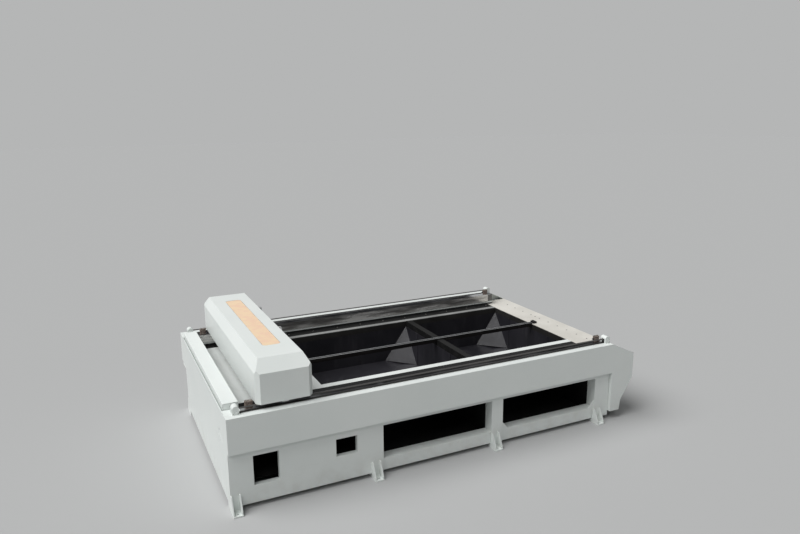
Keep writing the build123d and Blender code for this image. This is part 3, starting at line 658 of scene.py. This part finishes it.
# Masking paper: a thin sheet with an uneven edge, lying a little wavy on the window
paper_low, paper_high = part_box("masking_paper")
paper_corner = 0.035
paper_wall = 0.0004
width_share, length_share = 0.975, 0.997
edge_wander = 0.0022
ripple_size, ripple_lift = 0.0006, 0.0007
paper = begin(bpy.ops.mesh.primitive_grid_add, "window_paper", x_subdivisions=26, y_subdivisions=240, size=1)
paper.location = (paper_low + paper_high) / 2
paper.scale = (*(paper_high - paper_low).xy, 1)
bake_place(paper)
middle = (paper_low + paper_high) / 2
half = (paper_high - paper_low) / 2
for corner in paper.data.vertices:
    offset = corner.co - middle
    edge_wave = edge_wander * noise.noise(Vector((offset.x * 3, offset.y * 11, 4.0)))
    core = Vector((half.x - paper_corner, half.y - paper_corner))
    past = Vector((abs(offset.x) - core.x, abs(offset.y) - core.y))
    if past.x > 0 and past.y > 0 and past.length > 0:
        square = max(past.x, past.y)
        past *= square / past.length
        offset.x = math.copysign(core.x + past.x, offset.x)
        offset.y = math.copysign(core.y + past.y, offset.y)
    offset.x *= width_share + edge_wave / half.x
    offset.y *= length_share
    ripple = noise.noise(Vector((offset.x * 22, offset.y * 9, 0.0))) + 0.5 * noise.noise(offset * 45)
    corner.co = middle + Vector((offset.x, offset.y, ripple_size * ripple + ripple_lift))
wall = paper.modifiers.new("thickness", "SOLIDIFY")
wall.thickness = paper_wall
bpy.ops.object.modifier_apply(modifier=wall.name)
settle(paper, finishes["kraft"], "gantry")
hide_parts("masking_paper")

# Laser tube: a glass jacket round its bore, with electrodes, end flanges and water nipples
tube_x, tube_z = 0.5345, 1.100
tube_start, tube_end = 0.500, 2.150
tube_length = tube_end - tube_start
tube_foot = place(tube_x, tube_start, tube_z)
along = (0, 1, 0)
jacket_profile = [
    (0.024, -0.058), (0.024, 0.002), (0.030, 0.004), (0.037, 0.010), (0.040, 0.022),
    (0.040, tube_length - 0.022), (0.037, tube_length - 0.010), (0.030, tube_length - 0.004),
    (0.024, tube_length - 0.002), (0.024, tube_length + 0.058), (0.0215, tube_length + 0.058),
    (0.0215, tube_length - 0.006), (0.035, tube_length - 0.014), (0.0375, tube_length - 0.025),
    (0.0375, 0.025), (0.035, 0.014), (0.0215, 0.006), (0.0215, -0.058),
]
jacket = turned("tube_jacket", jacket_profile, tube_foot, along, 40)
settle(jacket, finishes["tube_glass"], "gantry")
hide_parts("laser_tube")
bore_inset = 0.10
bore_profile = [
    (0.0085, bore_inset), (0.0115, bore_inset),
    (0.0115, tube_length - bore_inset), (0.0085, tube_length - bore_inset),
]
settle(turned("tube_bore", bore_profile, tube_foot, along, 24), finishes["tube_glass"], "gantry")
can_profile = [(0.014, 0), (0.020, 0), (0.021, 0.003), (0.021, 0.092), (0.020, 0.095), (0.014, 0.095)]
for name, at in (("tube_anode", 0.030), ("tube_cathode", tube_length - 0.125)):
    can = turned(name, can_profile, tube_foot + Vector((0, at, 0)), along, 28)
    settle(can, finishes["aluminium"], "gantry")
end_flange_profile = [
    (0.007, 0), (0.022, 0), (0.0245, 0.002), (0.0245, 0.014),
    (0.022, 0.016), (0.022, 0.022), (0.007, 0.022),
]
for name, at, outward in (("tube_front_flange", -0.060, 1), ("tube_rear_flange", tube_length + 0.060, -1)):
    flange = turned(name, end_flange_profile, tube_foot + Vector((0, at, 0)), (0, outward, 0), 32)
    settle(flange, brass, "gantry")
nipple_inset, nipple_rise = 0.070, 0.0385
nipple_profile = [
    (0.0025, 0), (0.006, 0), (0.006, 0.008), (0.0045, 0.010),
    (0.0055, 0.014), (0.0045, 0.018), (0.005, 0.022), (0.0025, 0.023),
]
nipple_spots = [tube_foot + Vector((0, y, nipple_rise)) for y in (nipple_inset, tube_length - nipple_inset)]
nipples = [turned("nipple", nipple_profile, spot, (0, 0, 1), 20) for spot in nipple_spots]
settle(joined(nipples, "tube_nipples"), finishes["tube_glass"], "gantry")

# Mirror mounts: three adjusting knobs on the slanting back of each
knob_profile = [
    (0, 0), (0.003, 0), (0.003, 0.004), (0.0065, 0.005),
    (0.007, 0.006), (0.007, 0.015), (0.0062, 0.016), (0, 0.0165),
]


def knob_trio(centre, outward, across, upward, name, body):
    """Three knobs at the corners of a right triangle on a slanting face."""
    outward, across, upward = (Vector(side).normalized() for side in (outward, across, upward))
    shifts = ((-0.016, 0.014), (0.016, 0.014), (0.016, -0.014))
    spots = [centre + across * side + upward * rise for side, rise in shifts]
    knobs = [turned("knob", knob_profile, spot, outward, 20) for spot in spots]
    settle(joined(knobs, name), zinc, body)


mirror_knob_y, mirror_knob_z = 2.307, 1.0945
for number, x, side in ((1, 0.5175, -1), (2, 0.867, 1)):
    centre = place(x, mirror_knob_y, mirror_knob_z)
    knob_trio(centre, (side, 1, 0), (1, -side, 0), (0, 0, 1), f"mirror_{number}_knobs", "gantry")

# Cutting head: screws of the carriage plate, a clamp ring on the lens tube and a brass nozzle tip
head_x, head_y = 0.850, 1.431
carriage_face_x = 0.816
plate_spots = [place(carriage_face_x, head_y + dy, z) for dy in (-0.048, 0.048) for z in (0.942, 1.000, 1.096)]
plate_turn = (0, math.pi / 2, 0)
settle(repeated(socket_screw(0.005, 0.005), plate_spots, "carriage_screws", plate_turn), black_oxide, "head")
knob_trio(place(head_x, 1.414, 1.117), (0, -1, 1), (1, 0, 0), (0, 1, 1), "head_mirror_knobs", "head")
lens_axis = place(head_x, head_y, 0)
ring_profile = [
    (0.0252, 0.880), (0.031, 0.880), (0.0325, 0.882),
    (0.0325, 0.900), (0.031, 0.902), (0.0252, 0.902),
]
ring = turned("lens_clamp_ring", ring_profile, lens_axis, (0, 0, 1), 48)
settle(ring, black_oxide, "lens")
nozzle_profile = [
    (0.0045, 0.7515), (0.0075, 0.7515), (0.0126, 0.7845), (0.0126, 0.7895),
    (0.0205, 0.7898), (0.0205, 0.8145), (0.0195, 0.8148), (0.0045, 0.786),
]
settle(turned("brass_nozzle", nozzle_profile, lens_axis, (0, 0, 1), 40), brass, "lens")

# Motor of the cutting head's screw: its end cap screws
motor_low, motor_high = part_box("head_motor")
cap_inset = 0.007
cap_x = (motor_low.x + cap_inset, motor_high.x - cap_inset)
cap_z = (motor_low.z + cap_inset, motor_high.z - cap_inset)
cap_spots = [Vector((x, motor_high.y, z)) for x in cap_x for z in cap_z]
cap_turn = (-math.pi / 2, 0, 0)
settle(repeated(socket_screw(0.003, 0.0015), cap_spots, "motor_cap_screws", cap_turn), zinc, "gantry")


# Studio: a pale floor, broad daylight from the left, light from above the front, and an even room
def daylight(name, towards, energy, spread):
    """A soft sun that stands in a direction."""
    sun = bpy.data.objects.new(name, bpy.data.lights.new(name, "SUN"))
    sun.data.energy = energy
    sun.data.angle = math.radians(spread)
    sun.rotation_euler = (-Vector(towards)).to_track_quat("-Z", "Y").to_euler()
    bpy.context.scene.collection.objects.link(sun)


daylight("windows", (-0.55, 0.02, 0.835), 3.15, 50)
daylight("ceiling", (-0.30, -0.65, 0.70), 0.4, 14)

# Room: even light on every surface, while the camera, gloss and glass see the floor's tone behind
room_light, background_light = 0.13, 1.05
floor_tone = (0.44, 0.445, 0.445)
floor_size = 160

world = bpy.data.worlds.new("room")
bpy.context.scene.world = world
world.use_nodes = True
add_node, add_link = world.node_tree.nodes.new, world.node_tree.links.new
world.node_tree.nodes.clear()
room = add_node("ShaderNodeBackground")
seen = add_node("ShaderNodeBackground")
room.inputs["Color"].default_value = colour(1, 1, 1)
room.inputs["Strength"].default_value = room_light
seen.inputs["Color"].default_value = colour(*floor_tone)
seen.inputs["Strength"].default_value = background_light
rays = add_node("ShaderNodeLightPath")
either = add_node("ShaderNodeMixShader")
sky = add_node("ShaderNodeOutputWorld")
shown_to = rays.outputs["Is Camera Ray"]
for kind in ("Is Glossy Ray", "Is Transmission Ray"):
    larger = add_node("ShaderNodeMath")
    larger.operation = "MAXIMUM"
    add_link(shown_to, larger.inputs[0])
    add_link(rays.outputs[kind], larger.inputs[1])
    shown_to = larger.outputs[0]
add_link(shown_to, either.inputs[0])
add_link(room.outputs[0], either.inputs[1])
add_link(seen.outputs[0], either.inputs[2])
add_link(either.outputs[0], sky.inputs[0])

bpy.ops.object.select_all(action="DESELECT")
bpy.ops.mesh.primitive_plane_add(size=floor_size, location=(0, 0, 0))
floor = bpy.context.object
floor.name = "studio_floor"
f = Finish("pale_floor")
floor.data.materials.append(f.done(base_color=colour(*floor_tone), roughness=0.9, specular_ior_level=0.0))
